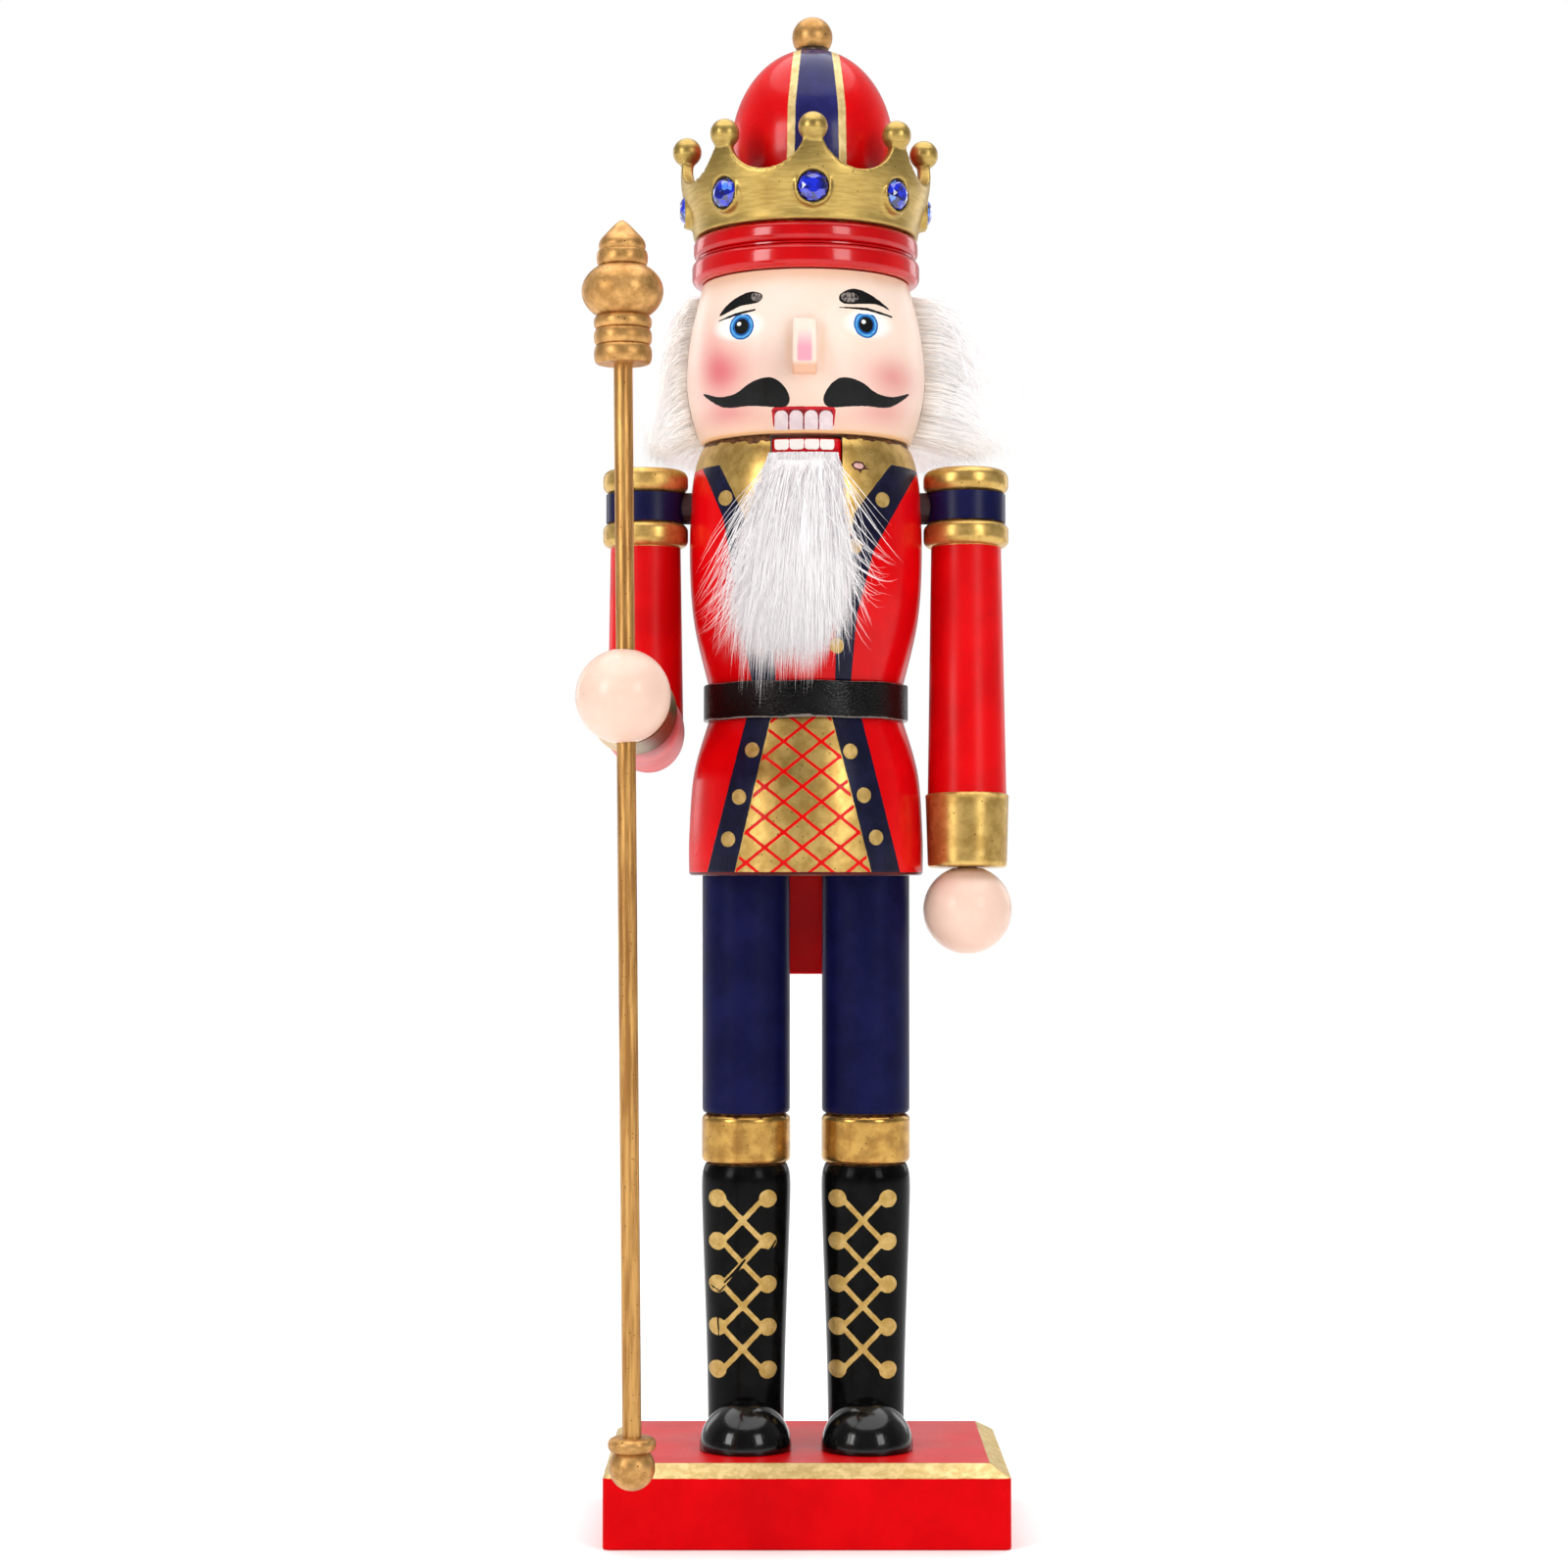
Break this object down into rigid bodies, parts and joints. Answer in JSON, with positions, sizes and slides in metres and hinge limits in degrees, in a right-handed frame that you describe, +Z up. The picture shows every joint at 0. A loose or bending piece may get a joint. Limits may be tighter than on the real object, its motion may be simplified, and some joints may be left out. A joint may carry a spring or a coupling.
{
  "type": "nutcracker figure",
  "caption": "Standing wooden nutcracker king on a block base, with a jaw lever at the back, turning arms, a jewelled crown, fur beard and a tall sceptre in one hand.",
  "frame": {"origin": "centre of the base block's flat bottom face", "axes": "+Z is up, the figure faces -Y, and +X is to the figure's left"},
  "size_m": [0.1051, 0.118, 0.3789],
  "materials": {
    "red_lacquer": "glossy lacquer paint on turned wood",
    "navy_paint": "satin paint on turned wood, with gold garters and laced black boots",
    "black_lacquer": "glossy black lacquer on wood",
    "face_paint": "glossy flesh paint on wood with hand-painted features",
    "hand_paint": "glossy flesh paint on round wooden beads",
    "antique_gold": "metallic gold paint on wood",
    "crown_gold": "satin gold paint on cast resin",
    "sceptre_gold": "coppery gold paint with darker flecks on wood",
    "blue_gem": "faceted blue acrylic stone with a foiled back",
    "black_leatherette": "glossy black leatherette",
    "white_fur": "long white faux fur",
    "bare_wood": "bare hardwood dowel",
    "pin_steel": "bright steel pin"
  },
  "bodies": {
    "figure": {"base_block": "red_lacquer", "torso": "red_lacquer", "belt": "black_leatherette", "lever_pivot_pin": "pin_steel", "head_block": "face_paint", "nose": "face_paint", "hair": "white_fur", "hat_band": "red_lacquer", "hat_peg": "bare_wood", "crown": "crown_gold", "hat_dome": "red_lacquer", "bead_pin": "pin_steel", "hat_bead": "antique_gold", "left_shoulder_peg": "bare_wood", "right_shoulder_peg": "bare_wood", "leg_left": "navy_paint", "toe_cap_left": "black_lacquer", "ankle_peg_left": "bare_wood", "hip_peg_left": "bare_wood", "neck_peg_left": "bare_wood", "leg_right": "navy_paint", "toe_cap_right": "black_lacquer", "ankle_peg_right": "bare_wood", "hip_peg_right": "bare_wood", "neck_peg_right": "bare_wood", "gem_1": "blue_gem", "gem_2": "blue_gem", "gem_3": "blue_gem", "gem_4": "blue_gem", "gem_5": "blue_gem", "gem_6": "blue_gem", "gem_7": "blue_gem", "gem_8": "blue_gem"},
    "jaw": {"jaw_lever": "red_lacquer", "beard": "white_fur"},
    "left_arm": {"left_arm": "red_lacquer", "left_hand": "hand_paint", "left_hand_peg": "bare_wood"},
    "right_arm": {"right_upper_arm": "red_lacquer", "elbow_dowel": "bare_wood", "right_forearm": "red_lacquer", "right_hand": "hand_paint", "right_hand_peg": "bare_wood"},
    "sceptre": {"sceptre_rod": "sceptre_gold", "sceptre_head": "sceptre_gold", "sceptre_foot": "sceptre_gold"}
  },
  "joints": [
    {"name": "jaw_hinge", "type": "hinge", "parent": "figure", "child": "jaw", "pos_m": [0, 0.002, 0.243], "axis": [1, 0, 0], "range_deg": [0, 14]},
    {"name": "left_shoulder", "type": "hinge", "parent": "figure", "child": "left_arm", "pos_m": [0.0404, 0, 0.254], "axis": [-1, 0, 0], "range_deg": [-40, 110]},
    {"name": "right_shoulder", "type": "hinge", "parent": "figure", "child": "right_arm", "pos_m": [-0.0404, 0, 0.254], "axis": [-1, 0, 0], "range_deg": [-5, 30]},
    {"name": "sceptre_slide", "type": "slide", "parent": "right_arm", "child": "sceptre", "axis": [-0.0096, 0, 1], "range_m": [-0.016, 0.15]}
  ]
}
